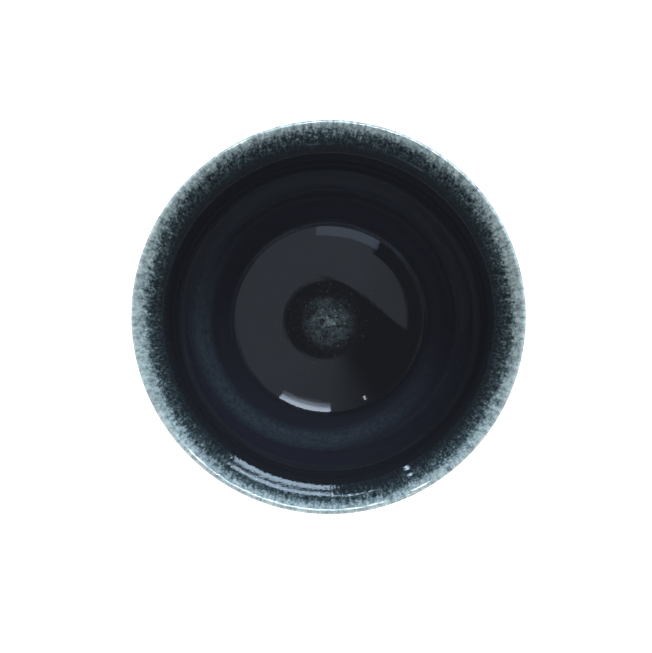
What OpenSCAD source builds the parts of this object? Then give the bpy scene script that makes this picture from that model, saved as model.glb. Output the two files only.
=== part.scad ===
// Guinomi sake cup: a thrown clay bowl on a foot ring, under coats of glaze that are solids of their own.
// Millimetres, +Z up, with the origin on the table under the middle of the foot.

/* [Cup] */
// Diameter over the glazed lip
rim_d = 70; // [60:0.5:80]
// Height from the table to the top of the lip
cup_h = 35; // [32:0.5:41]

/* [Lip] */
// Width of the rounded top of the lip, over the glaze
lip_w = 1.3; // [1:0.1:2]
// Height of the rounded top of the lip, over the glaze
lip_h = 1.3; // [0.8:0.1:2]

/* [Wall] */
// Thickness of the clay at the belly
wall_t = 3.1; // [2:0.1:4.5]
// Thickness of the clay in the middle of the floor
floor_t = 4.6; // [3:0.1:6]

/* [Foot] */
// Diameter of the foot ring where it stands
foot_d = 29; // [25:0.5:32]
// Width of the foot ring where it stands
foot_w = 3.4; // [2.4:0.1:5]
// Height of the recess inside the foot ring
recess_h = 4.3; // [3:0.1:5.5]
// How far the foot ring spreads outwards up to the bowl
foot_flare = 0.8; // [0.3:0.1:1.4]
// How far the recess narrows up to the bowl
foot_draft = 0.5; // [0.1:0.1:1]
// Rounding of the edges that the foot ring stands on
foot_edge = 0.6; // [0.2:0.1:0.8]

/* [Glaze] */
// Thickness of the dark glaze inside the bowl
liner_t = 0.35; // [0.2:0.05:0.6]
// Thickness of the pale glaze in the middle of the well
spot_t = 0.3; // [0.2:0.05:0.6]
// Thickness of the glaze over the lip
lip_glaze_t = 0.22; // [0.16:0.02:0.3]
// Thickness of the dark glaze on the outer wall
outer_t = 0.35; // [0.2:0.05:0.6]
// How much thicker the outer glaze is in the roll that it ends in
roll_t = 0.6; // [0.3:0.05:0.9]
// Height of the roll that the outer glaze ends in
roll_h = 2.6; // [1.5:0.1:4]
// Radius of the pale spot in the well
spot_r = 2.8; // [1.5:0.1:4]
// Width of the pale band inside the lip, seen from above
band_w = 4.4; // [3:0.1:6]
// Height of the pale band on the outer wall, with the lip
band_h = 6; // [4:0.1:9]
// Height of the bare clay between the foot ring and the outer glaze
bare_h = 0.6; // [0.2:0.1:2]

/* [Hidden] */
$fn = 180;

// Lean of the inner wall from the level, in degrees, at shares of its run from the centre to the lip:
// a low hump, a shallow moat, the round of the well, a steep belly, a gentle shelf and a steeper lip band
bowl_lean_shares = [[0, 0], [0.035, -3], [0.075, -4], [0.13, 0], [0.2, 8], [0.3, 15.5], [0.41, 26],
    [0.485, 32], [0.59, 42], [0.65, 52], [0.705, 61], [0.765, 65], [0.81, 62], [0.855, 45], [0.885, 32],
    [0.91, 27], [0.93, 34], [0.942, 46], [0.96, 53], [1, 53]];
// Steps in which the climb of the inner wall is added up
climb_steps = 240;
// Lean of the wall where the lip starts to round over, in degrees
lip_lean = 53;
// Where the belly lies on the run of the inner wall
belly_share = 0.765;
// Radius of the moat round the hump, as a share of the pale spot's
moat_share = 2;
// Lengths of the handles of the two outer curves, as shares of their run and climb
underside_handle_shares = [0.74, 0.44];
upper_handle_shares = [0.4, 0.2];
// How thick the roll and the coat under it are, at shares of the roll's height from the glaze line up
roll_shares = [[0, 0], [0.06, 0.5], [0.14, 0.78], [0.26, 0.97], [0.38, 1], [0.52, 0.86], [0.68, 0.5],
    [0.84, 0.16], [1, 0]];
coat_shares = [[0, 0], [0.06, 0.5], [0.14, 0.78], [0.26, 0.97], [0.38, 1], [1, 1]];

// Steps along each stretch of the outline
curve_steps = 120;
underside_steps = 8;
seat_steps = 5;
shoulder_steps = 5;
roll_steps = 12;
outer_steps = 20;
band_steps = 8;
lip_out_steps = 10;
lip_in_steps = 5;
rim_steps = 14;
liner_steps = 44;
well_steps = 8;
edge_steps = 5;

// Reach of the rounded lip and of the inner wall that climbs to it
lip_r = lip_w / 2;
crown_r = rim_d / 2 - lip_r;
lip_z = cup_h - lip_h;
lip_turn = 180 - atan2(lip_h, lip_r * tan(lip_lean));
inner_end_r = crown_r + lip_r * cos(lip_turn);
inner_end_z = lip_z + lip_h * sin(lip_turn);
well_z = recess_h + floor_t + spot_t;
bowl_depth = inner_end_z - well_z;
belly_r = belly_share * inner_end_r;
band_r = rim_d / 2 - band_w;
moat_r = moat_share * spot_r;

// Heights that the inner wall has climbed at each step, on a run of 1
climbs = [for (i = 0, z = 0; i <= climb_steps;
    z = z + tan(lookup((i + 0.5) / climb_steps, bowl_lean_shares)) / climb_steps, i = i + 1) z];
climb_shares = [for (i = [0:climb_steps]) [i / climb_steps, climbs[i] / climbs[climb_steps]]];
steepness = bowl_depth / inner_end_r / climbs[climb_steps];

// Places and directions on the glazed inner wall at a radius
function inner_z(r) = well_z + bowl_depth * lookup(r / inner_end_r, climb_shares);
function inner_lean(r) = atan(steepness * tan(lookup(r / inner_end_r, bowl_lean_shares)));
function into_clay(lean) = [sin(lean), -cos(lean)];
function glaze_in(r) = [r, inner_z(r)];

// Thickness of the inner glaze: thin on the hump, full in the bowl, thin again towards the lip
function inner_glaze_t(r) = lookup(r, [[0, spot_t], [spot_r, spot_t], [moat_r, liner_t],
    [belly_r, liner_t], [inner_end_r, lip_glaze_t]]);
function clay_in(r) = glaze_in(r) + inner_glaze_t(r) * into_clay(inner_lean(r));

// The outside of the clay: one curve from the middle of the underside to the belly, one on to the lip
belly_lean = inner_lean(belly_r);
belly_out = clay_in(belly_r) + wall_t * into_clay(belly_lean);
lip_out = [crown_r + lip_r - lip_glaze_t, lip_z];
function bezier(p, t) = pow(1 - t, 3) * p[0] + 3 * pow(1 - t, 2) * t * p[1]
    + 3 * (1 - t) * pow(t, 2) * p[2] + pow(t, 3) * p[3];
underside_climb = belly_out.y - recess_h;
upper_climb = lip_out.y - belly_out.y;
along_belly = [cos(belly_lean), sin(belly_lean)];
underside = [[0, recess_h], [underside_handle_shares[0] * belly_out.x, recess_h],
    belly_out - underside_handle_shares[1] * underside_climb * along_belly, belly_out];
upper = [belly_out, belly_out + upper_handle_shares[0] * upper_climb * along_belly,
    lip_out - [0, upper_handle_shares[1] * upper_climb], lip_out];
// The place on the clay's outside: t runs from 0 in the middle to 1 at the belly and 2 at the lip
function clay_out(t) = t < 1 ? bezier(underside, t) : bezier(upper, t - 1);
outside_by_r = [for (i = [0:curve_steps]) let (t = 2 * i / curve_steps) [clay_out(t).x, t]];
outside_by_z = [for (i = [0:curve_steps]) let (t = 2 * i / curve_steps) [clay_out(t).y, t]];
function t_at_r(r) = lookup(r, outside_by_r);
function t_at_z(z) = lookup(z, outside_by_z);
foot_out_t = t_at_r(foot_d / 2 + foot_flare);
foot_in_t = t_at_r(foot_d / 2 - foot_w - foot_draft);
line_z = clay_out(foot_out_t).y + bare_h;
line_t = t_at_z(line_z);
roll_end_t = t_at_z(line_z + roll_h);
band_t = t_at_z(cup_h - band_h);

// The direction out of the clay, square to its outside
function out_of_clay(t) = let (step = 1 / curve_steps,
    run = clay_out(min(t + step, 2)) - clay_out(max(t - step, 0))) [run.y, -run.x] / norm(run);
function outer_glaze_t(t) = let (share = (clay_out(t).y - line_z) / roll_h)
    t < roll_end_t ? roll_t * lookup(share, roll_shares) + outer_t * lookup(share, coat_shares)
    : outer_t + (lip_glaze_t - outer_t) * max(0, (t - band_t) / (2 - band_t));
function glaze_out(t) = clay_out(t) + outer_glaze_t(t) * out_of_clay(t);

// Numbers from one value to another in equal steps, without the last
function spaced(from, to, steps) = [for (i = [0:steps - 1]) from + (to - from) * i / steps];
function turned(list) = [for (i = [1:len(list)]) list[len(list) - i]];
// The rounded top of the lip between the outer and the inner wall, over the crown
function lip_round(cover) = [for (a = concat(spaced(0, 90, lip_out_steps), spaced(90, lip_turn, lip_in_steps)))
    if (a > 0) [crown_r + (lip_r - cover) * cos(a), lip_z + (lip_h - cover) * sin(a)]];

underside_ts = spaced(0, foot_in_t, underside_steps);
seat_ts = spaced(foot_in_t, foot_out_t, seat_steps);
shoulder_ts = spaced(foot_out_t, line_t, shoulder_steps);
roll_ts = spaced(line_t, roll_end_t, roll_steps);
wall_ts = spaced(roll_end_t, band_t, outer_steps);
band_ts = spaced(band_t, 2, band_steps);
rim_rs = spaced(inner_end_r, band_r, rim_steps);
liner_rs = spaced(band_r, spot_r, liner_steps);
well_rs = spaced(spot_r, 0, well_steps);

module turned_solid(outline) {
    rotate_extrude() polygon(outline);
}

// A coat between a line of points on the glaze and a line of points on the clay
module coat(glaze_line, clay_line) {
    turned_solid(concat(glaze_line, turned(clay_line)));
}

module clay_body() {
    outside = concat(underside_ts, seat_ts, shoulder_ts, roll_ts, wall_ts, band_ts, [2]);
    inside = concat(rim_rs, liner_rs, well_rs, [0]);
    color([0.52, 0.43, 0.36])
        turned_solid(concat([for (t = outside) clay_out(t)], lip_round(lip_glaze_t),
            [for (r = inside) clay_in(r)]));
}

// The ring's top follows the underside of the bowl, and its standing edges are rounded
module foot_ring() {
    outer = foot_d / 2;
    inner = outer - foot_w;
    seat = [for (t = concat(seat_ts, [foot_out_t])) clay_out(t)];
    outer_edge = [for (i = [0:edge_steps]) let (a = 90 * i / edge_steps)
        [outer - foot_edge + foot_edge * sin(a), foot_edge - foot_edge * cos(a)]];
    inner_edge = [for (i = [0:edge_steps]) let (a = 90 * i / edge_steps)
        [inner + foot_edge - foot_edge * cos(a), foot_edge - foot_edge * sin(a)]];
    color([0.52, 0.43, 0.36])
        turned_solid(concat(inner_edge, outer_edge, turned(seat)));
}

module liner_glaze() {
    stretch = concat(liner_rs, [spot_r]);
    color([0.05, 0.06, 0.09])
        coat([for (r = stretch) glaze_in(r)], [for (r = stretch) clay_in(r)]);
}

module well_glaze() {
    stretch = concat(well_rs, [0]);
    color([0.35, 0.43, 0.46])
        coat([for (r = stretch) glaze_in(r)], [for (r = stretch) clay_in(r)]);
}

module rim_glaze() {
    outside = concat(band_ts, [2]);
    inside = concat(rim_rs, [band_r]);
    color([0.6, 0.7, 0.73])
        coat(concat([for (t = outside) glaze_out(t)], lip_round(0), [for (r = inside) glaze_in(r)]),
            concat([for (t = outside) clay_out(t)], lip_round(lip_glaze_t), [for (r = inside) clay_in(r)]));
}

module outer_glaze() {
    outside = concat(roll_ts, wall_ts, [band_t]);
    color([0.06, 0.07, 0.1])
        coat([for (t = outside) if (t > line_t) glaze_out(t)], [for (t = outside) clay_out(t)]);
}

clay_body();
foot_ring();
liner_glaze();
well_glaze();
rim_glaze();
outer_glaze();
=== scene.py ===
"""Guinomi sake cup: the looks of a small thrown bowl under dark glaze, built round its solids.

Metres, +Z up, with the origin on the table under the middle of the foot. The bowl opens upwards.
Outlines and tables are in millimetres and degrees, and azimuth 0 is along +X.
"""

import math

import bpy
import numpy as np
from bpy.props import FloatProperty, FloatVectorProperty, IntProperty, PointerProperty
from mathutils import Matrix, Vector
from mathutils.kdtree import KDTree


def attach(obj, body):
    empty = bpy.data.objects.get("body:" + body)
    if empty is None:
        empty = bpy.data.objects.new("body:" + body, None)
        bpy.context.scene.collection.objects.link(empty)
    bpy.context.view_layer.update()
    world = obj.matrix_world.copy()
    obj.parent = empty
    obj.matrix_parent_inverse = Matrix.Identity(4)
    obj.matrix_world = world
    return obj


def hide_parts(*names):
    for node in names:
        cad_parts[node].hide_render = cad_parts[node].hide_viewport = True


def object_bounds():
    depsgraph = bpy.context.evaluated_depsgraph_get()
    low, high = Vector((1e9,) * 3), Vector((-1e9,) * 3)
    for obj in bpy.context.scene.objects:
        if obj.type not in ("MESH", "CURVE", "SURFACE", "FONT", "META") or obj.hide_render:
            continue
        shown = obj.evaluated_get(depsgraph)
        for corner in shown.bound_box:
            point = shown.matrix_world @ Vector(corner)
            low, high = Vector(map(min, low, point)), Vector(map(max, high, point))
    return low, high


bl_info = {
    "name": "Guinomi Sake Cup",
    "version": (1, 0, 0),
    "blender": (4, 5, 0),
    "location": "3D View > Sidebar > Sake Cup",
    "description": "Models a small thrown and glazed sake cup, piece by piece",
    "category": "Add Mesh",
}

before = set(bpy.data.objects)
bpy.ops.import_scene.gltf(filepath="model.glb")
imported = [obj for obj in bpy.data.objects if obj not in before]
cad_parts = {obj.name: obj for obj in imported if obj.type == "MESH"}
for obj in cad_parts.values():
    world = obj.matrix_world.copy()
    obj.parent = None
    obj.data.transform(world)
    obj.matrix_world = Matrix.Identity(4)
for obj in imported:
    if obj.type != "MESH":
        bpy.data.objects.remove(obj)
CAD_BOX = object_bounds()
MM = 0.001

# The outline of the cup, as the solids have it

# Lean of the inner wall from the level, in degrees, at shares of its run from the centre to the lip
BOWL_LEANS = [
    (0, 0), (0.0347, -3), (0.0743, -4), (0.1287, 0), (0.198, 8), (0.297, 15.5), (0.404, 26.6),
    (0.4782, 33.6), (0.5822, 43.6), (0.6406, 52.5), (0.695, 61.5), (0.7544, 65.5), (0.798, 62.5),
    (0.8495, 49.5), (0.8713, 43.7), (0.8851, 40.3), (0.8955, 38.1), (0.9005, 37.9), (0.9049, 38.1),
    (0.9143, 40.8), (0.9262, 45.5), (0.9426, 53.5), (0.9912, 53.5), (0.9936, 45.5), (1, 34),
]
CLIMB_STEPS = 1200
# Lean of the inner wall where the rounded lip takes over
LIP_LEAN = 34
# Lean of the lip's outer half, at shares of its length from the outer wall to the crown
LIP_LEANS = [(0, 90), (0.4, 80), (0.55, 62), (0.64, 45), (0.9, 39.5), (0.95, 30), (1, 0)]
LIP_STEPS = 36
# Turn of the rounded lip at its crown, and a little past it
CROWN_TURN = 90
PAST_CROWN = 91
# Radius of the belly as a share of the inner wall's run, and of the moat as a share of the spot's
BELLY_SHARE = 0.7544
MOAT_SHARE = 2
# Handles of the two curves of the clay's outside, as shares of the reach of each curve
UNDERSIDE_HANDLES = (0.74, 0.44)
UPPER_HANDLES = (0.4, 0.2)
# Where the clay's outside reaches the belly and the lip, counted from the middle of the underside
AT_BELLY = 1
AT_LIP = 2
OUTSIDE_STEPS = 120
# Thickness of the roll, and of the coat in it, at shares of the height of the roll
ROLL_RISE = [(0, 0), (0.06, 0.5), (0.14, 0.78), (0.26, 0.97), (0.38, 1)]
ROLL_SHARES = [*ROLL_RISE, (0.52, 0.86), (0.68, 0.5), (0.84, 0.16), (1, 0)]
COAT_SHARES = [*ROLL_RISE, (1, 1)]
# Strength of the fine throwing lines, by radius in the bowl
LINE_STRENGTHS = [
    (3, 0), (8, 0.3), (16.5, 0.4), (18.5, 1), (22, 1), (24, 0.5), (28, 0.15), (30, 0),
]
# The ridges outside are full this far above the roll, and fade between these depths at the lip
RIDGE_RISE = 3
RIDGE_FADE = (5, 2)
# Steps of the line that runs are measured on: in the bowl, round the lip, and down the outside
RUN_STEPS = (0.05, 2, 0.004)
RUN_MARGIN = 0.001
# How close the second point of a line lies to its first, as a share of a step
END_GAP = 0.06


def lookup(x, table):
    """The value at x on the straight lines between a table's points."""
    return float(np.interp(x, [p[0] for p in table], [p[1] for p in table]))


def middles(table, count):
    """A table's values in the middles of equal steps from 0 to 1."""
    return [lookup((i + 0.5) / count, table) for i in range(count)]


def spaced(start, end, step):
    """Numbers from start up to end, both kept, at most a step apart, with one close to each end."""
    count = max(2, math.ceil(abs(end - start) / step))
    inner = [start + (end - start) * i / count for i in range(count + 1)]
    close = END_GAP * (end - start) / count
    return [inner[0], inner[0] + close, *inner[1:-1], inner[-1] - close, inner[-1]]


def traced(point, start, end, step):
    """The points of one of the cup's lines from start to end."""
    return [point(x) for x in spaced(start, end, step)]


class Outline:
    """The cup's outline in millimetres, as points of (radius, height)."""

    def __init__(self, sizes):
        for key in CupSizes.__annotations__:
            setattr(self, key, getattr(sizes, key) / MM)
        self.crown_r = self.rim_d / 2 - self.lip_out
        self.lip_z = self.cup_h - self.lip_h
        inward = self.lip_in * math.tan(math.radians(LIP_LEAN))
        self.lip_turn = 180 - math.degrees(math.atan2(self.lip_h, inward))
        turn = math.radians(self.lip_turn)
        self.inner_end_r = self.crown_r + self.lip_in * math.cos(turn)
        self.inner_end_z = self.lip_z + self.lip_h * math.sin(turn)
        self.well_z = self.recess_h + self.floor_t + self.spot_t
        self.bowl_depth = self.inner_end_z - self.well_z
        self.belly_r = BELLY_SHARE * self.inner_end_r
        self.band_r = self.rim_d / 2 - self.band_w
        self.moat_r = MOAT_SHARE * self.spot_r
        slopes = np.tan(np.radians(middles(BOWL_LEANS, CLIMB_STEPS)))
        climbs = np.concatenate([[0], np.cumsum(slopes) / CLIMB_STEPS])
        self.steepness = self.bowl_depth / self.inner_end_r / climbs[-1]
        self.climb_shares = [(i / CLIMB_STEPS, c / climbs[-1]) for i, c in enumerate(climbs)]
        self.set_outside()

    def set_outside(self):
        """Works out the two curves of the clay's outside, and where things start and end on it."""
        lean = math.radians(self.inner_lean(self.belly_r))
        belly = self.clay_in(self.belly_r)
        belly_out = (belly[0] + self.wall_t * math.sin(lean),
                     belly[1] - self.wall_t * math.cos(lean))
        lip_foot = (self.rim_d / 2 - self.lip_glaze_t, self.lip_z)
        under, climb = belly_out[1] - self.recess_h, lip_foot[1] - belly_out[1]

        def along(reach):
            return (belly_out[0] + reach * math.cos(lean), belly_out[1] + reach * math.sin(lean))

        self.underside = [
            (0, self.recess_h), (UNDERSIDE_HANDLES[0] * belly_out[0], self.recess_h),
            along(-UNDERSIDE_HANDLES[1] * under), belly_out]
        self.upper = [
            belly_out, along(UPPER_HANDLES[0] * climb),
            (lip_foot[0], lip_foot[1] - UPPER_HANDLES[1] * climb), lip_foot]
        ways = [AT_LIP * i / OUTSIDE_STEPS for i in range(OUTSIDE_STEPS + 1)]
        by_r, by_z = ([(self.clay_out(t)[axis], t) for t in ways] for axis in (0, 1))
        self.foot_out_t = lookup(self.foot_d / 2 + self.foot_flare, by_r)
        self.foot_in_t = lookup(self.foot_d / 2 - self.foot_w - self.foot_draft, by_r)
        self.line_z = self.clay_out(self.foot_out_t)[1] + self.bare_h
        self.line_t = lookup(self.line_z, by_z)
        self.roll_end_t = lookup(self.line_z + self.roll_h, by_z)
        self.band_t = lookup(self.cup_h - self.band_h, by_z)

    def inner_lean(self, r):
        """Lean of the inner wall, in degrees."""
        lean = lookup(r / self.inner_end_r, BOWL_LEANS)
        return math.degrees(math.atan(self.steepness * math.tan(math.radians(lean))))

    def throwing(self, r):
        """Height of the fine throwing lines in the wall of the bowl."""
        strength = lookup(r, LINE_STRENGTHS)
        return self.line_depth * strength * math.sin(math.tau * r / self.line_gap)

    def glaze_in(self, r):
        """A point on the glaze inside the bowl."""
        climb = lookup(r / self.inner_end_r, self.climb_shares)
        return (r, self.well_z + self.bowl_depth * climb + self.throwing(r))

    def clay_in(self, r):
        """A point on the clay under the inner glaze."""
        thick = lookup(r, [
            (0, self.spot_t), (self.spot_r, self.spot_t), (self.moat_r, self.liner_t),
            (self.belly_r, self.liner_t), (self.inner_end_r, self.lip_glaze_t)])
        lean, (r0, z0) = math.radians(self.inner_lean(r)), self.glaze_in(r)
        return (r0 + thick * math.sin(lean), z0 - thick * math.cos(lean))

    def clay_out(self, t):
        """A point on the clay's outside, from 0 in the middle of the underside up to the lip."""
        curve, s = (self.underside, t) if t < AT_BELLY else (self.upper, t - AT_BELLY)
        shares = ((1 - s) ** 3, 3 * (1 - s) ** 2 * s, 3 * (1 - s) * s ** 2, s ** 3)
        return tuple(sum(w * p[i] for w, p in zip(shares, curve)) for i in (0, 1))

    def glaze_out(self, t):
        """A point on the glaze outside the cup."""
        (r, z), step = self.clay_out(t), 1 / OUTSIDE_STEPS
        (r0, z0), (r1, z1) = self.clay_out(max(t - step, 0)), self.clay_out(min(t + step, AT_LIP))
        share, span = (z - self.line_z) / self.roll_h, math.hypot(r1 - r0, z1 - z0)
        if t < self.roll_end_t:
            thick = (self.roll_t * lookup(share, ROLL_SHARES)
                     + self.outer_t * lookup(share, COAT_SHARES))
        else:
            up_band = max(0, (t - self.band_t) / (AT_LIP - self.band_t))
            thick = self.outer_t + (self.lip_glaze_t - self.outer_t) * up_band
        roll_top = self.line_z + self.roll_h
        ridge = lookup(z, [
            (roll_top, 0), (roll_top + RIDGE_RISE, 1),
            (self.cup_h - RIDGE_FADE[0], 1), (self.cup_h - RIDGE_FADE[1], 0)])
        thick += self.ridge_depth * ridge * math.sin(math.tau * z / self.ridge_gap)
        return (r + thick * (z1 - z0) / span, z - thick * (r1 - r0) / span)

    def lip_round(self, cover, step):
        """The rounded lip from the outer wall over the crown to the inner wall, without its ends.

        It lies this deep under the glaze, and its points are a step in degrees apart.
        """
        turns = spaced(0, self.lip_turn, step)[1:-1]
        line = []
        for turned in turns:
            reach, a = self.lip_out if turned < CROWN_TURN else self.lip_in, math.radians(turned)
            line.append((self.crown_r + (reach - cover) * math.cos(a),
                         self.lip_z + (self.lip_h - cover) * math.sin(a)))
        if cover:
            return line
        return self.wiped_edge() + [p for p, turned in zip(line, turns) if turned > PAST_CROWN]

    def wiped_edge(self):
        """The outer half of the lip, with the small flat that a wet sponge leaves on it."""
        leans = np.radians(middles(LIP_LEANS, LIP_STEPS))
        run, rise = np.cumsum(np.cos(leans)), np.cumsum(np.sin(leans))
        return [(self.crown_r + self.lip_out * (1 - a / run[-1]),
                 self.lip_z + self.lip_h * b / rise[-1]) for a, b in zip(run, rise)]

    def glaze_line(self):
        """The line of the glaze from the middle of the well over the lip to its end outside."""
        return (traced(self.glaze_in, 0, self.inner_end_r, RUN_STEPS[0])
                + self.lip_round(0, RUN_STEPS[1])[::-1]
                + traced(self.glaze_out, AT_LIP, self.line_t + RUN_MARGIN, RUN_STEPS[2]))

    def runs(self):
        """The glaze line, and how far each of its points is from the crown along the glaze."""
        line = np.array(self.glaze_line())
        gone = np.concatenate([[0], np.cumsum(np.linalg.norm(np.diff(line, axis=0), axis=1))])
        return line, np.abs(gone - gone[np.argmax(line[:, 1])])


# What a user would change

def length(name, text, default):
    """A size in metres, given in millimetres."""
    return FloatProperty(
        name=name, description=text, default=default * MM, unit="LENGTH", precision=5)


class CupSizes(bpy.types.PropertyGroup):
    """Sizes of the cup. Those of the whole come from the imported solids."""

    rim_d: length("Rim", "Diameter over the glazed lip",
                  round((CAD_BOX[1][0] - CAD_BOX[0][0]) / MM, 2))
    cup_h: length("Height", "Height from the table to the top of the lip",
                  round(CAD_BOX[1][2] / MM, 2))
    lip_out: length("Lip outwards", "How far the top of the lip rounds down outwards", 0.55)
    lip_in: length("Lip inwards", "How far the top of the lip rounds down inwards", 0.3)
    lip_h: length("Lip height", "Height of the rounded top of the lip, over the glaze", 1.3)
    wall_t: length("Wall", "Thickness of the clay at the belly", 3.1)
    floor_t: length("Floor", "Thickness of the clay in the middle of the floor", 4.6)
    foot_d: length("Foot", "Diameter of the foot ring where it stands", 29)
    foot_w: length("Foot width", "Width of the foot ring where it stands", 3.4)
    recess_h: length("Recess", "Height of the recess inside the foot ring", 4.3)
    foot_flare: length("Flare", "How far the foot ring spreads outwards up to the bowl", 0.8)
    foot_draft: length("Draft", "How far the recess narrows up to the bowl", 0.5)
    foot_edge: length("Foot edge", "Rounding of the edges that the foot ring stands on", 0.6)
    liner_t: length("Liner", "Thickness of the dark glaze inside the bowl", 0.35)
    spot_t: length("Spot", "Thickness of the pale glaze in the middle of the well", 0.3)
    lip_glaze_t: length("Lip glaze", "Thickness of the glaze over the lip", 0.22)
    outer_t: length("Outer glaze", "Thickness of the dark glaze on the outer wall", 0.35)
    roll_t: length("Roll", "How much thicker the outer glaze is in its roll", 0.6)
    roll_h: length("Roll height", "Height of the roll that the outer glaze ends in", 2.6)
    spot_r: length("Spot radius", "Radius of the pale spot in the well", 2.8)
    band_w: length("Band width", "Width of the pale band inside the lip, seen from above", 4.4)
    band_h: length("Band height", "Height of the pale band on the outer wall, with the lip", 6)
    bare_h: length("Bare clay", "Height of the bare clay between the foot ring and the glaze", 0.6)
    line_depth: length("Throwing lines", "Depth of the fine throwing lines in the bowl", 0.004)
    line_gap: length("Line spacing", "Distance from one fine throwing line to the next", 0.8)
    ridge_depth: length("Ridges", "Depth of the throwing ridges on the outer wall", 0.018)
    ridge_gap: length("Ridge spacing", "Distance from one throwing ridge to the next", 2.7)


def tint(name, text, default):
    """A colour."""
    return FloatVectorProperty(
        name=name, description=text, default=default, subtype="COLOR", min=0, max=1)


class CupLooks(bpy.types.PropertyGroup):
    """Colours and finish of the glaze and the clay, and of the light painted round the well."""

    dark: tint("Dark glaze", "The glaze where it lies thick", (0.0135, 0.0145, 0.0190))
    teal: tint("Breaking glaze", "The glaze where it starts to thin out", (0.0145, 0.0262, 0.0322))
    # Painted light, not a glaze: the colour added to the wall round the well where light falls
    painted_wall_light: tint("Painted wall light", "What the wall round the well gains", (0.0095, 0.0102, 0.0175))
    slate: tint("Thin glaze", "The glaze in the speckled zone under the lip", (0.075, 0.108, 0.122))
    mist: tint("Pale glaze", "The glaze of the band inside the lip", (0.2, 0.274, 0.3))
    frost: tint("Palest glaze", "The glaze over the crown of the lip", (0.365, 0.46, 0.472))
    clay: tint("Fired clay", "The bare clay of the foot", (0.36, 0.27, 0.195))
    gloss: FloatProperty(
        name="Glaze roughness", description="Roughness of the glaze, low for a wet shine",
        default=0.05, min=0.01, max=0.6, subtype="FACTOR")


class CupStudio(bpy.types.PropertyGroup):
    """The camera and the light."""

    turns: IntProperty(
        name="Turning steps", description="Faces once round each piece",
        default=288, min=48, max=720)
    camera_el: FloatProperty(
        name="Camera elevation", description="Height of the camera's line of sight",
        default=math.radians(87.6), subtype="ANGLE", unit="ROTATION")
    camera_far: length("Camera distance", "Distance from the camera to the lip", 557.5)
    focal: FloatProperty(
        name="Focal length", description="Focal length of the camera, in millimetres", default=174)
    window: FloatProperty(
        name="Window light", description="Radiance of the main softbox", default=8, min=0)
    fill: FloatProperty(
        name="Fill light", description="Radiance of the soft light from all sides",
        default=0.75, min=0)


# Modelling

# Points of a turned line closer than this are one point
MERGE_WITHIN = 0.002
# A line that ends further than this from the axis is closed on itself
AXIS_NEAR = 1e-6
# Edges under this angle are shaded smooth
SMOOTH_UNDER = 38
# What hands leave on a thrown wall: the name of each unevenness, its width and its strength
WAVERS = (("slow waver", 24, 0.16), ("uneven skin", 5, 0.014))
# They start at this height and are full this much higher, after so many levels
WAVER_START = 5
WAVER_GROWTH = 12
WAVER_LEVELS = 20


def select(piece):
    """Makes the piece the active object and the only selected one."""
    bpy.ops.object.select_all(action="DESELECT")
    bpy.context.view_layer.objects.active = piece
    piece.select_set(True)


def turn(name, outline, turns):
    """Turns a line of (radius, height) points once round the Z axis into a closed piece."""
    bpy.ops.object.select_all(action="DESELECT")
    points = [Vector((r, 0, z)) * MM for r, z in outline]
    bpy.ops.mesh.primitive_plane_add(size=MM, location=points[0])
    bpy.ops.object.transform_apply(location=True, rotation=True, scale=True)
    piece = bpy.context.object
    piece.name = piece.data.name = name
    bpy.ops.object.mode_set(mode="EDIT")
    bpy.ops.mesh.select_all(action="SELECT")
    bpy.ops.mesh.merge(type="CENTER")
    for here, there in zip(points, points[1:]):
        bpy.ops.mesh.extrude_vertices_move(TRANSFORM_OT_translate={"value": there - here})
    bpy.ops.mesh.select_all(action="SELECT")
    bpy.ops.mesh.spin(steps=turns, angle=math.tau, center=(0, 0, 0), axis=(0, 0, 1))
    bpy.ops.mesh.select_all(action="SELECT")
    bpy.ops.mesh.remove_doubles(threshold=MERGE_WITHIN * MM)
    bpy.ops.mesh.normals_make_consistent(inside=False)
    bpy.ops.object.mode_set(mode="OBJECT")
    return piece


def places(piece):
    """The piece's points as an array, in millimetres."""
    numbers = np.empty(3 * len(piece.data.vertices), dtype=np.float32)
    piece.data.vertices.foreach_get("co", numbers)
    return numbers.reshape(-1, 3) / MM


def mark_run(piece, cup):
    """Keeps how far each point is from the crown along the glaze, in millimetres, as lip_run."""
    line, runs = cup.runs()
    tree = KDTree(len(line))
    for i, (r, z) in enumerate(line):
        tree.insert((r, 0, z), i)
    tree.balance()
    found = {}
    values = np.empty(len(piece.data.vertices), dtype=np.float32)
    for i, (x, y, z) in enumerate(places(piece).tolist()):
        ring = (round(math.hypot(x, y), 3), round(z, 3))
        if ring not in found:
            found[ring] = runs[tree.find((ring[0], 0, ring[1]))[1]]
        values[i] = found[ring]
    piece.data.attributes.new("lip_run", "FLOAT", "POINT").data.foreach_set("value", values)


def hand_thrown(piece):
    """Takes the machined truth out of a piece: a slow waver of its wall, and an uneven skin."""
    rise = np.clip((places(piece)[:, 2] - WAVER_START) / WAVER_GROWTH, 0, 1)
    group = piece.vertex_groups.new(name="thrown wall")
    for level in range(1, WAVER_LEVELS + 1):
        chosen = np.nonzero(np.ceil(rise * WAVER_LEVELS) == level)[0]
        if len(chosen):
            group.add(chosen.tolist(), level / WAVER_LEVELS, "REPLACE")
    for name, size, strength in WAVERS:
        texture = bpy.data.textures.get(name) or bpy.data.textures.new(name, "CLOUDS")
        texture.cloud_type, texture.noise_basis = "COLOR", "IMPROVED_PERLIN"
        texture.noise_depth, texture.noise_scale = 0, size * MM
        select(piece)
        waver = piece.modifiers.new(name, "DISPLACE")
        waver.texture, waver.texture_coords, waver.direction = texture, "LOCAL", "RGB_TO_XYZ"
        waver.strength, waver.mid_level, waver.vertex_group = strength * MM, 0.5, group.name
        bpy.ops.object.modifier_apply(modifier=name)
    piece.vertex_groups.clear()


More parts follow.
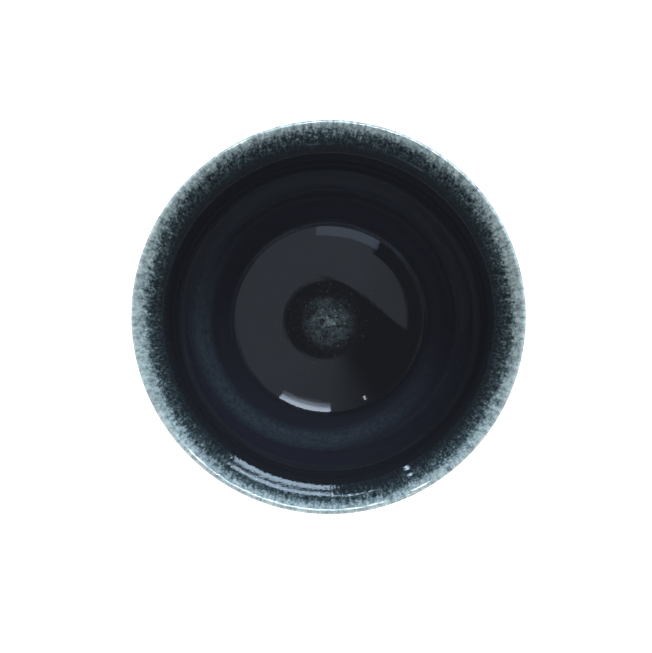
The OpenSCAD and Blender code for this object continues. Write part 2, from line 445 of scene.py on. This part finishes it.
def finish_piece(piece, node, material):
    """Smooths the piece, gives it its finish, and puts it in the place of its solid."""
    select(piece)
    bpy.ops.object.shade_smooth_by_angle(angle=math.radians(SMOOTH_UNDER))
    piece.data.materials.clear()
    piece.data.materials.append(material)
    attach(piece, "root")
    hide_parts(node)


def coat(scene, cup, name, outside, clay, node, material):
    """A coat of glaze between a line on its surface and a line on the clay under it."""
    line = outside + clay[::-1]
    if line[-1][0] > AXIS_NEAR:
        line.append(line[0])
    piece = turn(name, line, scene.cup_studio.turns)
    mark_run(piece, cup)
    hand_thrown(piece)
    finish_piece(piece, node, material)


# Nodes of materials

def put(tree, kind, inputs=None, **settings):
    """Adds a node. inputs gives its sockets, by name or place, a value or another node's output."""
    node = tree.nodes.new(kind)
    for key, value in settings.items():
        setattr(node, key, value)
    for key, value in (inputs or {}).items():
        if isinstance(value, bpy.types.NodeSocket):
            tree.links.new(value, node.inputs[key])
        else:
            node.inputs[key].default_value = value
    return node


def calc(tree, operation, a, b=0.0, c=0.0):
    """A Math node's result."""
    return put(tree, "ShaderNodeMath", {0: a, 1: b, 2: c}, operation=operation).outputs[0]


def times_plus(tree, a, b, c):
    """a times b, plus c."""
    return calc(tree, "MULTIPLY_ADD", a, b, c)


def product(tree, value, *factors):
    """A number times each of the factors in turn."""
    for factor in factors:
        value = calc(tree, "MULTIPLY", value, factor)
    return value


def between(tree, value, low, high):
    """0 at low and before, 1 at high and beyond, smooth between. low may be the greater."""
    return put(tree, "ShaderNodeMapRange", {0: value, 1: low, 2: high},
               interpolation_type="SMOOTHSTEP").outputs[0]


def zone(tree, value, start, full, fade, end):
    """0 up to start, 1 from full to fade, 0 from end on, and smooth between."""
    return product(tree, between(tree, value, start, full), between(tree, value, end, fade))


def blend(tree, factor, a, b, kind="MIX"):
    """Two colours mixed."""
    colour = [v if isinstance(v, bpy.types.NodeSocket) else (*v, 1.0) for v in (a, b)]
    return put(tree, "ShaderNodeMix", {0: factor, 6: colour[0], 7: colour[1]},
               data_type="RGBA", blend_type=kind).outputs[2]


def scaled(colour, share):
    """A colour, brighter or darker."""
    return tuple(min(1, share * c) for c in colour)


def ramp(tree, value, stops):
    """A colour or a number for each value, by stops of (place, colour or number)."""
    node = put(tree, "ShaderNodeValToRGB", {0: value})
    node.color_ramp.interpolation = "LINEAR"
    marks = node.color_ramp.elements
    while len(marks) < len(stops):
        marks.new(0.5)
    for mark, (place, colour) in zip(marks, stops):
        mark.position = place
        mark.color = (*colour, 1) if hasattr(colour, "__len__") else (colour, colour, colour, 1)
    return node.outputs[0]


def by_radius(tree, radius, reach, stops):
    """A number for each radius, by stops at shares of a reach."""
    return ramp(tree, calc(tree, "DIVIDE", radius, reach), stops)


def noise(tree, place, size, detail=0.0, roughness=0.5):
    """Noise from 0 to 1 about a half, with grains of a size in millimetres."""
    return put(tree, "ShaderNodeTexNoise", {
        "Vector": place, "Scale": 1 / size, "Detail": detail, "Roughness": roughness}).outputs[0]


def swing(tree, place, *grains):
    """Noise about 0."""
    return calc(tree, "SUBTRACT", noise(tree, place, *grains), 0.5)


def vector(tree, operation, a, b=(0, 0, 0)):
    """A Vector Math node."""
    return put(tree, "ShaderNodeVectorMath", {0: a, 1: b}, operation=operation)


def flat(tree, way):
    """A place or a direction without its height."""
    return vector(tree, "MULTIPLY", way, (1, 1, 0)).outputs[0]


def towards(tree, outward, azimuth):
    """1 on the side of the cup at an azimuth, -1 on the far side."""
    side = (math.cos(math.radians(azimuth)), math.sin(math.radians(azimuth)), 0)
    return vector(tree, "DOT_PRODUCT", outward, side).outputs["Value"]


def facing(tree, outward, azimuth, low, high):
    """Smooth from 0 to 1 towards the side of the cup at an azimuth."""
    return between(tree, towards(tree, outward, azimuth), low, high)


def bump(tree, shader, height, depth):
    """Roughens a shader's surface by a height, to a depth in millimetres."""
    node = put(tree, "ShaderNodeBump", {"Strength": 1.0, "Distance": depth * MM, "Height": height})
    tree.links.new(node.outputs[0], shader.inputs["Normal"])


def new_material(name):
    """An empty node material, with its tree, its shader and the place on the piece."""
    material = bpy.data.materials.new(name)
    material.use_nodes = True
    tree = material.node_tree
    tree.nodes.clear()
    shader = put(tree, "ShaderNodeBsdfPrincipled")
    put(tree, "ShaderNodeOutputMaterial", {"Surface": shader.outputs[0]})
    here = put(tree, "ShaderNodeTexCoord").outputs["Object"]
    place = put(tree, "ShaderNodeVectorMath", {0: here, "Scale": 1 / MM}, operation="SCALE")
    return material, tree, shader, place.outputs[0]


# The glaze. A side is an azimuth, and where its effect starts and is full: 1 is at that azimuth and
# -1 opposite. Grains are the size of a noise, its detail and its roughness.

# Thinness of the glaze over the lip, by radius inside the bowl: 1 at the crown, 0 in the dark
LIP_THINS = [
    (34.0, 0.93), (33.5, 0.87), (33.0, 0.68), (32.6, 0.5), (32.0, 0.36), (31.2, 0.23), (30.4, 0.09),
]
LIP_THIN_END = 29.2
# How much nearer to the crown the pale band ends on a side of the cup. The second number of a pair
# goes all round.
BACK_SIDE = (98, 0.1, 0.8)
BACK_SHIFT = (0.93, -0.54)
TILT_AZIMUTH = -57
TILT_SHIFT = 0.19
FLANK_SHIFT = (-0.44, 0.24)
FRONT_SIDE = (-85, 0.3, 1)
FRONT_SHIFT = 0.3
# How its end wanders: grains, and how far
WANDERS = (((6, 0), 0.6), ((1.4, 2), 0.8))
# The speckles of the band: grains of the fine ones, of those drawn out down the lip, and of the
# larger mottles, with the share of each, and how strong they are by the thinness of the glaze
FINE_GRAINS = (0.5, 2, 0.55)
FINE_SHARE = 0.6
STREAK_GRAINS = (0.42, 2, 0.6)
STREAK_SHARE = 0.75
STREAK_SQUEEZE = 0.5
SPECKLE_STRENGTHS = [(0, 0), (0.1, 0.28), (0.25, 0.5), (0.5, 0.44), (0.8, 0.34), (1, 0.28)]
SPECKLE_GAIN = 2.9
MOTTLE_GRAINS = (0.95, 2, 0.6)
MOTTLE_THINS = (0.05, 0.4)
MOTTLE_GAIN = 0.85
THIN_GAIN = 0.84
# Tones of the glaze from thick to thin: where each lies, the name of its colour, and its share
GLAZE_TONES = [
    (0, "dark", 1), (0.15, "teal", 1), (0.335, "slate", 0.55), (0.47, "slate", 1),
    (0.64, "mist", 1), (0.8, "frost", 1), (0.96, "frost", 1.4),
]
# Painted light: the wall between the well and the shelf is made paler between these radii, and most
# on the side that faces the window light
PAINTED_LIGHT_ZONE = (16.8, 18.2, 25, 27.4)
PAINTED_LIGHT_SIDE = (-105, -0.5, 0.9)
PAINTED_LIGHT_STRENGTH = (0.85, 0.5)
# The ring where the glaze breaks over the belly lies a little off the middle. It is thin glaze, and
# partly painted light: it is only put on the side that faces the window light
RING_OFFSET = (180, -1.5)
RING_ZONE = (19.2, 21.2, 22, 24.2)
RING_PAINTED_LIGHT_SIDE = (-120, -0.45, 1.15)
RING_GRAINS = (0.8, 4, 0.7)
RING_CLOUD = (0.2, 0.72)
RING_GAIN = 1.9
# The pale spot in the well and its specks. Their stops are at shares of a reach from the middle.
SPOT_REACH = 8
SPOT_TONES = [
    (0, 1), (0.1, 0.84), (0.2, 0.52), (0.3, 0.38), (0.48, 0.27), (0.57, 0.14), (0.66, 0.03), (1, 0),
]
SPOT_GRAINS = (1.1, 3, 0.75)
SPOT_CLOUD = (0.3, 0.72)
SPOT_GAIN = 2.7
SPECK_GRAINS = (0.5, 1)
SPECK_CLOUD = (0.7, 0.82)
SPECK_CROWD_REACH = 12
SPECK_CROWD = [(0, 0.12), (0.3, 0.08), (0.6, 0.03), (1, 0)]
SPECK_TONE_REACH = 34
SPECK_TONES = [(0, 0.8), (0.08, 0.45), (0.2, 0.16), (0.35, 0.05), (1, 0.04)]
# The shine: roughness over its grains and over the thin glaze
SHINE_GRAINS = (1.7, 2)
SHINE_SPREAD = 0.05
THIN_ROUGHNESS = 0.05
GLAZE_IOR = 1.5
# The skin: fine and wide waves, and a crust where the glaze thins out on one side
PEEL_DEPTH = 0.003
PEEL_GRAINS = (0.7, 1)
WAVE_GRAINS = (3.5, 0)
WAVE_GAIN = 3
CRUST_THINS = (0, 0.07, 0.3, 0.6)
CRUST_GRAINS = (0.55, 2)
CRUST_SIDE = (-108, 0.72, 0.88)
CRUST_GAIN = 9


def lip_thinness(tree, place, outward, run, cup):
    """How thin the glaze is: 1 at the crown of the lip, 0 in the dark."""
    shift = times_plus(tree, facing(tree, outward, *BACK_SIDE), *BACK_SHIFT)
    shift = times_plus(tree, towards(tree, outward, TILT_AZIMUTH), TILT_SHIFT, shift)
    across = towards(tree, outward, 0)
    shift = times_plus(tree, product(tree, across, across), FLANK_SHIFT[0],
                       calc(tree, "ADD", shift, FLANK_SHIFT[1]))
    shift = times_plus(tree, facing(tree, outward, *FRONT_SIDE), FRONT_SHIFT, shift)
    for grains, far in WANDERS:
        shift = times_plus(tree, swing(tree, place, *grains), far, shift)
    line, runs = cup.runs()
    inside = line[:np.argmax(line[:, 1])]
    end, *marks = (float(np.interp(r, inside[:, 0], runs[:len(inside)]))
                   for r in (LIP_THIN_END, *(r for r, _ in LIP_THINS)))
    stops = [(mark / end, thin) for mark, (_, thin) in zip(marks, LIP_THINS)]
    return ramp(tree, calc(tree, "DIVIDE", calc(tree, "ADD", run, shift), end),
                [(0, 1), *stops, (1, 0)])


def lip_colour(tree, place, outward, looks, cup):
    """The glaze from the crown of the lip into the dark: pale and mottled, speckled, then dark."""
    run = put(tree, "ShaderNodeAttribute", attribute_name="lip_run").outputs["Fac"]
    thin = lip_thinness(tree, place, outward, run, cup)
    strength = ramp(tree, thin, SPECKLE_STRENGTHS)
    round_lip = vector(tree, "SCALE", outward)
    round_lip.inputs["Scale"].default_value = cup.crown_r
    down = put(tree, "ShaderNodeCombineXYZ", {2: product(tree, run, STREAK_SQUEEZE)}).outputs[0]
    flow = vector(tree, "ADD", round_lip.outputs[0], down).outputs[0]
    streaks = product(tree, noise(tree, flow, *STREAK_GRAINS), STREAK_SHARE)
    speckles = times_plus(tree, noise(tree, place, *FINE_GRAINS), FINE_SHARE, streaks)
    speckles = calc(tree, "SUBTRACT", speckles, (FINE_SHARE + STREAK_SHARE) / 2)
    speckles = product(tree, speckles, product(tree, strength, SPECKLE_GAIN))
    level = times_plus(tree, thin, THIN_GAIN, speckles)
    mottle = product(tree, swing(tree, flow, *MOTTLE_GRAINS), between(tree, thin, *MOTTLE_THINS))
    level = times_plus(tree, mottle, MOTTLE_GAIN, level)
    return thin, ramp(tree, level, [
        (at, scaled(getattr(looks, name), share)) for at, name, share in GLAZE_TONES])


def glaze(name):
    """The glaze: dark where it is thick, teal over the belly, pale over the lip and in the well,
    with painted light round the well and on one side of the teal ring.
    """
    scene = bpy.context.scene
    looks, cup = scene.cup_looks, Outline(scene.cup_sizes)
    material, tree, shader, place = new_material(name)
    level = flat(tree, place)
    radius = vector(tree, "LENGTH", level).outputs["Value"]
    outward = vector(tree, "NORMALIZE", level).outputs[0]
    thin, colour = lip_colour(tree, place, outward, looks, cup)

    # Painted light: the wall round the well is made paler, most on the side that faces the window
    painted_wall_light = times_plus(tree, facing(tree, outward, *PAINTED_LIGHT_SIDE), *PAINTED_LIGHT_STRENGTH)
    painted_wall_light = product(tree, zone(tree, radius, *PAINTED_LIGHT_ZONE), painted_wall_light)
    colour = blend(tree, painted_wall_light, colour, looks.painted_wall_light, "ADD")

    # The teal ring of thinning glaze over the belly, painted only on the side the window lights, so
    # partly painted light
    ring_r = times_plus(tree, towards(tree, outward, RING_OFFSET[0]), RING_OFFSET[1], radius)
    ring = product(tree, zone(tree, ring_r, *RING_ZONE), facing(tree, outward, *RING_PAINTED_LIGHT_SIDE),
                   between(tree, noise(tree, place, *RING_GRAINS), *RING_CLOUD))
    colour = blend(tree, ring, colour, scaled(looks.teal, RING_GAIN), "ADD")

    spot = product(tree, by_radius(tree, radius, SPOT_REACH, SPOT_TONES),
                   between(tree, noise(tree, place, *SPOT_GRAINS), *SPOT_CLOUD))
    colour = blend(tree, spot, colour, scaled(looks.slate, SPOT_GAIN), "ADD")

    crowd = by_radius(tree, radius, SPECK_CROWD_REACH, SPECK_CROWD)
    specks = calc(tree, "ADD", noise(tree, place, *SPECK_GRAINS), crowd)
    specks = product(tree, between(tree, specks, *SPECK_CLOUD),
                     by_radius(tree, radius, SPECK_TONE_REACH, SPECK_TONES))
    colour = blend(tree, specks, colour, looks.mist, "ADD")
    tree.links.new(colour, shader.inputs["Base Color"])

    rough = times_plus(tree, noise(tree, place, *SHINE_GRAINS), SHINE_SPREAD,
                       looks.gloss - SHINE_SPREAD / 2)
    rough = times_plus(tree, thin, THIN_ROUGHNESS, rough)
    tree.links.new(rough, shader.inputs["Roughness"])
    shader.inputs["IOR"].default_value = GLAZE_IOR

    peel = calc(tree, "ADD", noise(tree, place, *PEEL_GRAINS),
                product(tree, noise(tree, place, *WAVE_GRAINS), WAVE_GAIN))
    crust = product(tree, zone(tree, thin, *CRUST_THINS), noise(tree, place, *CRUST_GRAINS),
                    facing(tree, outward, *CRUST_SIDE))
    bump(tree, shader, times_plus(tree, crust, CRUST_GAIN, peel), PEEL_DEPTH)
    return material


# The bare clay: its tones by a noise, then sand, iron specks and the toast of the fire on it

CLAY_GRAINS = (3.2, 4, 0.6)
CLAY_TONES = [(0.3, 0.72), (0.5, 1), (0.72, 1.28)]
SAND_GRAINS = (0.35, 2, 0.6)
SAND_CLOUD = (0.36, 0.7)
SAND_SHARE = 0.25
SAND_COLOUR = (0.5, 0.43, 0.34)
IRON_GRAINS = (0.55, 1)
IRON_CLOUD = (0.72, 0.8)
IRON_COLOUR = (0.05, 0.035, 0.028)
TOAST_HEIGHTS = (5.2, 7.6)
TOAST_SHARE = 0.45
TOAST_COLOUR = (0.19, 0.105, 0.06)
CLAY_ROUGHNESS = (0.14, 0.68)
# The feel of the clay: sand, and wider lumps
CLAY_DEPTH = 0.03
FEEL_GRAINS = (0.3, 3, 0.7)
LUMP_GRAINS = (1.3, 2)
LUMP_GAIN = 1.5


def fired_clay(name):
    """Bare stoneware: a toasted, sandy body with iron specks."""
    clay = bpy.context.scene.cup_looks.clay
    material, tree, shader, place = new_material(name)
    colour = ramp(tree, noise(tree, place, *CLAY_GRAINS), [
        (at, scaled(clay, share)) for at, share in CLAY_TONES])
    sand = between(tree, noise(tree, place, *SAND_GRAINS), *SAND_CLOUD)
    colour = blend(tree, product(tree, sand, SAND_SHARE), colour, SAND_COLOUR)
    iron = between(tree, noise(tree, place, *IRON_GRAINS), *IRON_CLOUD)
    colour = blend(tree, iron, colour, IRON_COLOUR)
    height = put(tree, "ShaderNodeSeparateXYZ", {0: place}).outputs[2]
    toast = product(tree, between(tree, height, *TOAST_HEIGHTS), TOAST_SHARE)
    colour = blend(tree, toast, colour, TOAST_COLOUR)
    tree.links.new(colour, shader.inputs["Base Color"])
    tree.links.new(times_plus(tree, sand, *CLAY_ROUGHNESS), shader.inputs["Roughness"])
    bump(tree, shader, calc(tree, "ADD", noise(tree, place, *FEEL_GRAINS), product(
        tree, noise(tree, place, *LUMP_GRAINS), LUMP_GAIN)), CLAY_DEPTH)
    return material


def shared(name, make):
    """A material that is made once and used again."""
    return bpy.data.materials.get(name) or make(name)


# Operators. Their steps are from point to point of a line: in millimetres inside the bowl, in
# degrees round the lip, and in parts of each curve outside.

# Marks of the trimming tool in the recess: their strength by radius, their depth and their spacing
RECESS_MARKS = [(0.4, 0), (1.5, 1), (8.5, 1), (10, 0)]
RECESS_MARK_DEPTH = 0.035
RECESS_MARK_GAP = 1.5
# Its marks on each side of the foot ring: their depth and their number
FOOT_MARK_DEPTH = 0.03
FOOT_MARKS = 4.2
CLAY_LIP_STEP = 15


class PieceOperator(bpy.types.Operator):
    """Adds a piece of the cup"""

    bl_options = {"REGISTER", "UNDO"}

    def execute(self, context):
        self.build(context.scene, Outline(context.scene.cup_sizes))
        return {"FINISHED"}


class SAKECUP_OT_clay_bowl(PieceOperator):
    """Turns the thrown clay bowl, bare in the recess and in a line above the foot"""

    bl_idname = "sakecup.clay_bowl"
    bl_label = "Clay Bowl"

    recess_step, covered_step, bare_step, bowl_step = 0.014, 0.03, 0.004, 0.7

    def build(self, scene, cup):
        line = []
        for r, z in traced(cup.clay_out, 0, cup.foot_in_t, self.recess_step):
            mark = RECESS_MARK_DEPTH * lookup(r, RECESS_MARKS)
            line.append((r, z + mark * math.sin(math.tau * r / RECESS_MARK_GAP)))
        line += traced(cup.clay_out, cup.foot_in_t, cup.foot_out_t, self.covered_step)[1:]
        line += traced(cup.clay_out, cup.foot_out_t, cup.line_t, self.bare_step)[1:]
        line += traced(cup.clay_out, cup.line_t, AT_LIP, self.covered_step)[1:]
        line += cup.lip_round(cup.lip_glaze_t, CLAY_LIP_STEP)
        line += traced(cup.clay_in, cup.inner_end_r, 0, self.bowl_step)
        piece = turn("clay_bowl", line, scene.cup_studio.turns)
        hand_thrown(piece)
        finish_piece(piece, "clay_body", shared("bare_stoneware", fired_clay))


class SAKECUP_OT_foot_ring(PieceOperator):
    """Turns the foot ring, with its standing edges rounded and tool marks on its sides"""

    bl_idname = "sakecup.foot_ring"
    bl_label = "Foot Ring"

    edge_step, side_step, seat_step = 8, 0.02, 0.02

    def trimmed(self, start, end, way):
        """A side of the ring between two points, with the marks of the trimming tool."""
        line = []
        for share in spaced(0, 1, self.side_step)[1:-1]:
            cut = FOOT_MARK_DEPTH * math.sin(math.pi * share)
            cut *= math.sin(math.tau * FOOT_MARKS * share)
            line.append((start[0] + (end[0] - start[0]) * share + way * cut,
                         start[1] + (end[1] - start[1]) * share))
        return line

    def build(self, scene, cup):
        outer, edge = cup.foot_d / 2, cup.foot_edge
        inner = outer - cup.foot_w
        quarter = [math.radians(a) for a in spaced(0, 90, self.edge_step)]
        foot = [(inner + edge - edge * math.cos(a), edge - edge * math.sin(a)) for a in quarter]
        foot += [(outer - edge + edge * math.sin(a), edge - edge * math.cos(a)) for a in quarter]
        seat = traced(cup.clay_out, cup.foot_out_t, cup.foot_in_t, self.seat_step)
        line = (foot + self.trimmed(foot[-1], seat[0], 1) + seat
                + self.trimmed(seat[-1], foot[0], -1) + foot[:1])
        piece = turn("foot_ring_trimmed", line, scene.cup_studio.turns)
        finish_piece(piece, "foot_ring", shared("bare_stoneware", fired_clay))


class SAKECUP_OT_well_glaze(PieceOperator):
    """Pours the pale spot of glaze in the middle of the well"""

    bl_idname = "sakecup.well_glaze"
    bl_label = "Well Glaze"

    glaze_step, clay_step = 0.2, 0.7

    def build(self, scene, cup):
        top = traced(cup.glaze_in, 0, cup.spot_r, self.glaze_step)
        clay = traced(cup.clay_in, 0, cup.spot_r, self.clay_step)
        coat(scene, cup, "well_glaze_pool", top, clay, "well_glaze",
             glaze("glaze_in_the_well"))


class SAKECUP_OT_liner_glaze(PieceOperator):
    """Pours the dark glaze that lines the bowl"""

    bl_idname = "sakecup.liner_glaze"
    bl_label = "Liner Glaze"

    glaze_step, clay_step = 0.2, 1.2

    def build(self, scene, cup):
        top = traced(cup.glaze_in, cup.spot_r, cup.band_r, self.glaze_step)
        clay = traced(cup.clay_in, cup.spot_r, cup.band_r, self.clay_step)
        coat(scene, cup, "liner_glaze_coat", top, clay, "liner_glaze",
             glaze("glaze_lining_the_bowl"))


class SAKECUP_OT_rim_glaze(PieceOperator):
    """Lays the thin pale glaze over the lip, inside and out"""

    bl_idname = "sakecup.rim_glaze"
    bl_label = "Rim Glaze"

    # Outside, round the lip and inside
    glaze_steps, clay_steps = (0.02, 3, 0.045), (0.1, CLAY_LIP_STEP, 0.6)

    def build(self, scene, cup):
        outside, lip, inside = self.glaze_steps
        top = (traced(cup.glaze_out, cup.band_t, AT_LIP, outside) + cup.lip_round(0, lip)
               + traced(cup.glaze_in, cup.inner_end_r, cup.band_r, inside))
        outside, lip, inside = self.clay_steps
        clay = (traced(cup.clay_out, cup.band_t, AT_LIP, outside)
                + cup.lip_round(cup.lip_glaze_t, lip)
                + traced(cup.clay_in, cup.inner_end_r, cup.band_r, inside))
        coat(scene, cup, "rim_glaze_band", top, clay, "rim_glaze",
             glaze("glaze_over_the_lip"))


class SAKECUP_OT_outer_glaze(PieceOperator):
    """Lays the dark glaze on the outer wall, down to the thick roll that it ends in"""

    bl_idname = "sakecup.outer_glaze"
    bl_label = "Outer Glaze"

    roll_step, wall_step = 0.006, 0.012

    def build(self, scene, cup):
        roll = spaced(cup.line_t, cup.roll_end_t, self.roll_step)
        wall = spaced(cup.roll_end_t, cup.band_t, self.wall_step)
        top = [cup.clay_out(cup.line_t)] + [cup.glaze_out(t) for t in roll[1:] + wall[1:]]
        # The clay under it takes every third point of the roll and every fourth of the wall
        clay = [cup.clay_out(t) for t in roll[2:-2:3] + wall[::4] + wall[-1:]]
        coat(scene, cup, "outer_glaze_coat", top, clay, "outer_glaze",
             glaze("glaze_on_the_outer_wall"))


# The studio

BLUE, PALE, WHITE, SKY = (0.6, 0.8, 1.0), (0.68, 0.81, 1.0), (0.88, 0.95, 1.0), (0.5, 0.68, 0.95)
# The softboxes stand this far from a point in the mouth of the bowl, in metres
LAMP_FAR = 0.9
LAMP_AIM = Vector((0, 0, 0.03))
# How the window fades upwards and gets dimmer sideways, as shares of its light
WINDOW_FADING = (1.2, 1.1, 0.75, 0.4, 0.16, 0.05)
WINDOW_SIDES = tuple(4 - 0.9 * i for i in range(4))
FAR_WINDOW = 0.75
# Lamps close to the table: name, azimuths, and share of the window's light
LOW_LAMPS = (
    ("right", (26, 36), 3), ("front", (-65.5, -62), 8), ("front_end", (-72, -65.5), 2),
    ("left", (-152, -147), 4), ("side", (114.7, 119.3), 60),
)
# The floor
FLOOR_SIZE = 6
PAPER_GRAINS = (180, 2)
PAPER_TONES = [(0.3, 0.86), (0.7, 0.9)]
FLOOR_FINISH = {
    "Roughness": 0.9, "Specular IOR Level": 0.1, "Emission Color": (1, 1, 1, 1),
    "Emission Strength": 0.75,
}
# The ceiling that the glaze mirrors: the rise where it starts, and the round opening in its top
CEILING_RISES = (0.392, 0.404)
OPENING_WAY = (0.085, 0.013, 0.996)
OPENING_EDGE = (0.97, 0.947)
# A straight shade over one side of it, and a dark corner low on that side
SHADE_EDGE = (241, 0.3, 0.26)
SHADE_SIDE = (192, -0.3, 0.45)
CORNER_SIDE = (188, 0.64, 0.7)
CORNER_RISES = (0.62, 0.58)
# How it gets paler towards one side, and upwards
LIT_SIDE = (-35, -0.5, 0.3)
LIT_GAIN = (0.25, 0.75)
RISE_GAIN = (0.45, 0.72)
ROOM_COLOUR = (0.09, 0.095, 0.115)
CEILING_COLOUR = (0.52, 0.61, 0.73)
# Where the camera looks in the plane of the lip, and the width of its sensor
AIM = (-0.5, -1.85)
SENSOR_WIDTH = 36


def softbox(name, azimuths, elevations, radiance, colour, diffuse):
    """A rectangle of light that faces the bowl and spans these angles."""
    across, tall = (math.radians(end - start) / 2 for start, end in (azimuths, elevations))
    around, up = math.radians(sum(azimuths) / 2), math.radians(sum(elevations) / 2)
    way = Vector((math.cos(up) * math.cos(around), math.cos(up) * math.sin(around), math.sin(up)))
    data = bpy.data.lights.new(name, "AREA")
    data.shape = "RECTANGLE"
    data.size = 2 * LAMP_FAR * math.cos(up) * math.tan(across)
    data.size_y = 2 * LAMP_FAR * math.tan(tall)
    # The radiance of an area light is its power over four times its area
    data.energy = 4 * radiance * data.size * data.size_y
    data.color = colour
    lamp = bpy.data.objects.new(name, data)
    lamp.location = LAMP_AIM + LAMP_FAR * way
    lamp.rotation_euler = way.to_track_quat("Z", "Y").to_euler()
    lamp.visible_camera = False
    lamp.visible_diffuse = diffuse
    bpy.context.collection.objects.link(lamp)


def softboxes(window):
    """Name, azimuths, elevations, radiance and colour of each light, and if it lights matt clay."""
    return [
        ("window_low", (58, 91), (4, 16.2), window, BLUE, True),
        ("window_sill", (40, 105), (0.4, 2.6), window * 24, WHITE, False),
        *((f"window_fading_{i}", (58.5, 91), (22.2 + 2 * i, 24.2 + 2 * i), window * share, PALE,
           True) for i, share in enumerate(WINDOW_FADING)),
        *((f"window_side_{i}", (91 + 3.5 * i, 94.5 + 3.5 * i), (2.8, 4.3), window * share, BLUE,
           True) for i, share in enumerate(WINDOW_SIDES)),
        ("far_window", (235, 278), (24, 33), FAR_WINDOW, SKY, True),
        ("lamp_stand", (115.5, 116.6), (5, 15.5), window * 2, BLUE, False),
        ("lamp_top", (113.4, 114.5), (27, 30.5), window, WHITE, False),
        *((f"lamp_{name}", azimuths, (0.4, 2.4), window * share, WHITE, False)
          for name, azimuths, share in LOW_LAMPS),
    ]


def set_floor():
    """Lays the pale floor."""
    bpy.ops.object.select_all(action="DESELECT")
    bpy.ops.mesh.primitive_plane_add(size=FLOOR_SIZE, location=(0, 0, 0))
    floor = bpy.context.object
    floor.name = floor.data.name = "studio_floor"
    material, tree, shader, place = new_material("white_floor")
    paper = ramp(tree, noise(tree, place, *PAPER_GRAINS), PAPER_TONES)
    tree.links.new(paper, shader.inputs["Base Color"])
    for key, value in FLOOR_FINISH.items():
        shader.inputs[key].default_value = value
    floor.data.materials.append(material)


def set_air(scene, fill):
    """Makes the air: a dim room and its ceiling to mirror, even light on matt clay, and white."""
    world = bpy.data.worlds.new("studio_air")
    scene.world = world
    world.use_nodes = True
    tree = world.node_tree
    tree.nodes.clear()
    path = put(tree, "ShaderNodeLightPath")
    way = put(tree, "ShaderNodeTexCoord").outputs["Generated"]
    rise = put(tree, "ShaderNodeSeparateXYZ", {0: way}).outputs[2]
    level = vector(tree, "NORMALIZE", flat(tree, way)).outputs[0]
    opening = vector(tree, "DOT_PRODUCT", way, OPENING_WAY).outputs["Value"]
    ceiling = product(tree, between(tree, rise, *CEILING_RISES),
                      between(tree, opening, *OPENING_EDGE))
    shade = product(tree, facing(tree, way, *SHADE_EDGE), facing(tree, level, *SHADE_SIDE))
    corner = product(tree, facing(tree, level, *CORNER_SIDE), between(tree, rise, *CORNER_RISES))
    ceiling = product(tree, ceiling, calc(tree, "SUBTRACT", 1, shade),
                      calc(tree, "SUBTRACT", 1, corner),
                      times_plus(tree, facing(tree, level, *LIT_SIDE), *LIT_GAIN),
                      times_plus(tree, rise, *RISE_GAIN))
    air = blend(tree, ceiling, ROOM_COLOUR, CEILING_COLOUR)
    air = blend(tree, path.outputs["Is Diffuse Ray"], air, (fill,) * 3)
    air = blend(tree, path.outputs["Is Camera Ray"], air, (1.0, 1.0, 1.0))
    back = put(tree, "ShaderNodeBackground", {"Color": air, "Strength": 1.0})
    put(tree, "ShaderNodeOutputWorld", {"Surface": back.outputs[0]})
    world.cycles.sampling_method = "NONE"


def set_camera(scene, studio):
    """Puts the camera nearly straight above the cup."""
    data = bpy.data.cameras.new("photo_camera")
    data.lens, data.sensor_fit, data.sensor_width = studio.focal, "HORIZONTAL", SENSOR_WIDTH
    camera = bpy.data.objects.new("photo_camera", data)
    tilt = math.pi / 2 - studio.camera_el
    aim = Vector((*AIM, scene.cup_sizes.cup_h / MM)) * MM
    camera.location = aim + studio.camera_far * Vector((0, -math.sin(tilt), math.cos(tilt)))
    camera.rotation_euler = (tilt, 0, 0)
    bpy.context.collection.objects.link(camera)
    scene.camera = camera
    scene.view_settings.view_transform = "Standard"


class SAKECUP_OT_studio(bpy.types.Operator):
    """Sets the pale floor, the soft light and the camera"""

    bl_idname = "sakecup.studio"
    bl_label = "Studio"
    bl_options = {"REGISTER", "UNDO"}

    def execute(self, context):
        studio = context.scene.cup_studio
        set_floor()
        for light in softboxes(studio.window):
            softbox(*light)
        set_air(context.scene, studio.fill)
        set_camera(context.scene, studio)
        return {"FINISHED"}


class SAKECUP_PT_panel(bpy.types.Panel):
    """The cup's sizes, its looks, and a button for each piece"""

    bl_label = "Guinomi Sake Cup"
    bl_idname = "SAKECUP_PT_panel"
    bl_space_type = "VIEW_3D"
    bl_region_type = "UI"
    bl_category = "Sake Cup"

    def draw(self, context):
        for name in GROUPS:
            group = getattr(context.scene, name)
            box = self.layout.box()
            for key in type(group).__annotations__:
                box.prop(group, key)
        for operator in OPERATORS:
            self.layout.operator(operator.bl_idname)


GROUPS = {"cup_sizes": CupSizes, "cup_looks": CupLooks, "cup_studio": CupStudio}
OPERATORS = (
    SAKECUP_OT_clay_bowl, SAKECUP_OT_foot_ring, SAKECUP_OT_liner_glaze, SAKECUP_OT_well_glaze,
    SAKECUP_OT_rim_glaze, SAKECUP_OT_outer_glaze, SAKECUP_OT_studio,
)


def register():
    for group in GROUPS.values():
        bpy.utils.register_class(group)
    for name, group in GROUPS.items():
        setattr(bpy.types.Scene, name, PointerProperty(type=group))
    for cls in (*OPERATORS, SAKECUP_PT_panel):
        bpy.utils.register_class(cls)


def unregister():
    for cls in (SAKECUP_PT_panel, *reversed(OPERATORS)):
        bpy.utils.unregister_class(cls)
    for name, group in GROUPS.items():
        delattr(bpy.types.Scene, name)
        bpy.utils.unregister_class(group)


def main():
    """Builds every piece and the studio."""
    register()
    for operator in OPERATORS:
        family, name = operator.bl_idname.split(".")
        getattr(getattr(bpy.ops, family), name)()


if __name__ == "__main__":
    main()
